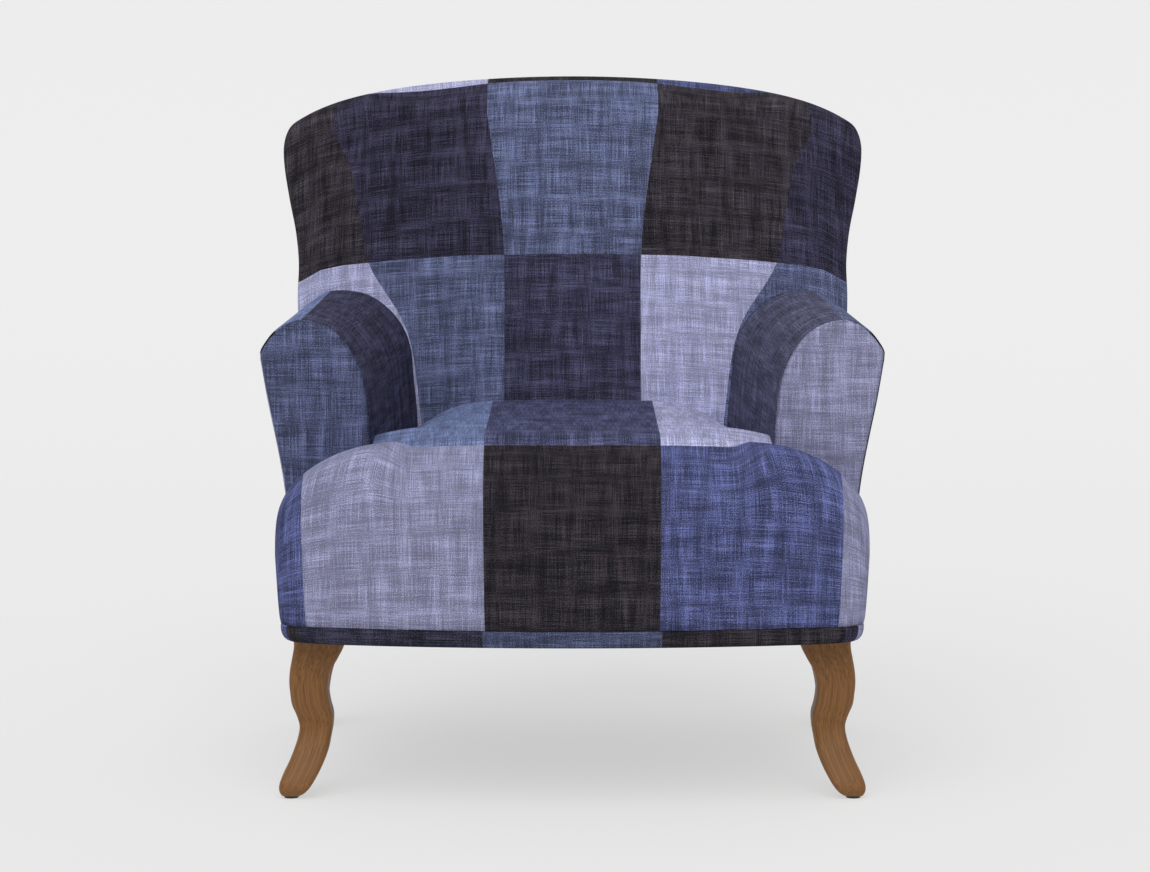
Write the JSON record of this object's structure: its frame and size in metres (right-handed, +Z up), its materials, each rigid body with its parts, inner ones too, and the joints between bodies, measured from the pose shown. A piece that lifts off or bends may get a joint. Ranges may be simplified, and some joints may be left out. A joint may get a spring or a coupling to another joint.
{
  "type": "upholstered armchair",
  "caption": "Compact barrel-back armchair with rounded arms, a T-shaped tight seat and shaped wooden legs, covered in a patchwork of faded denims.",
  "frame": {"origin": "on the floor under the middle of the chair's bounding box", "axes": "+Z up, the seat faces -Y, +X to the right in a view from the front"},
  "size_m": [0.7826, 0.7442, 0.8897],
  "materials": {
    "patchwork_denim": "faded slub denim in squares of black, navy, slate, royal blue and pale lavender",
    "foam": "upholstery foam",
    "jute": "woven jute webbing and hessian",
    "black_lining": "plain black lining cloth",
    "frame_beech": "bare sawn beech",
    "leg_wood": "brown stained beech, satin",
    "spring_steel": "drawn steel wire and plated bolts",
    "nylon": "dark nylon"
  },
  "bodies": {
    "root": {"seat_cover": "patchwork_denim", "base_band": "patchwork_denim", "inside_back_cover": "patchwork_denim", "outside_back_panel": "patchwork_denim", "left_arm_cover": "patchwork_denim", "right_arm_cover": "patchwork_denim", "left_arm_facing": "patchwork_denim", "right_arm_facing": "patchwork_denim", "left_outside_arm_panel": "patchwork_denim", "right_outside_arm_panel": "patchwork_denim", "seat_foam": "foam", "back_foam": "foam", "left_arm_foam": "foam", "right_arm_foam": "foam", "spring_cover": "jute", "back_upright_strap_1": "jute", "back_upright_strap_2": "jute", "back_upright_strap_3": "jute", "back_cross_strap_1": "jute", "back_cross_strap_2": "jute", "dust_cover": "black_lining", "front_seat_rail": "frame_beech", "rear_seat_rail": "frame_beech", "back_top_rail": "frame_beech", "back_lower_rail": "frame_beech", "left_seat_rail": "frame_beech", "right_seat_rail": "frame_beech", "left_front_corner_block": "frame_beech", "right_front_corner_block": "frame_beech", "left_rear_corner_block": "frame_beech", "right_rear_corner_block": "frame_beech", "left_back_post": "frame_beech", "right_back_post": "frame_beech", "left_arm_facing_board": "frame_beech", "right_arm_facing_board": "frame_beech", "left_arm_rail": "frame_beech", "right_arm_rail": "frame_beech", "left_front_leg": "leg_wood", "right_front_leg": "leg_wood", "left_rear_leg": "leg_wood", "right_rear_leg": "leg_wood", "seat_spring_1": "spring_steel", "seat_spring_2": "spring_steel", "seat_spring_3": "spring_steel", "seat_spring_4": "spring_steel", "seat_spring_5": "spring_steel", "left_front_leg_bolt": "spring_steel", "right_front_leg_bolt": "spring_steel", "left_rear_leg_bolt": "spring_steel", "right_rear_leg_bolt": "spring_steel", "front_clip_strip": "nylon", "rear_clip_strip": "nylon", "left_front_foot_glide": "nylon", "right_front_foot_glide": "nylon", "left_rear_foot_glide": "nylon", "right_rear_foot_glide": "nylon"}
  },
  "joints": []
}
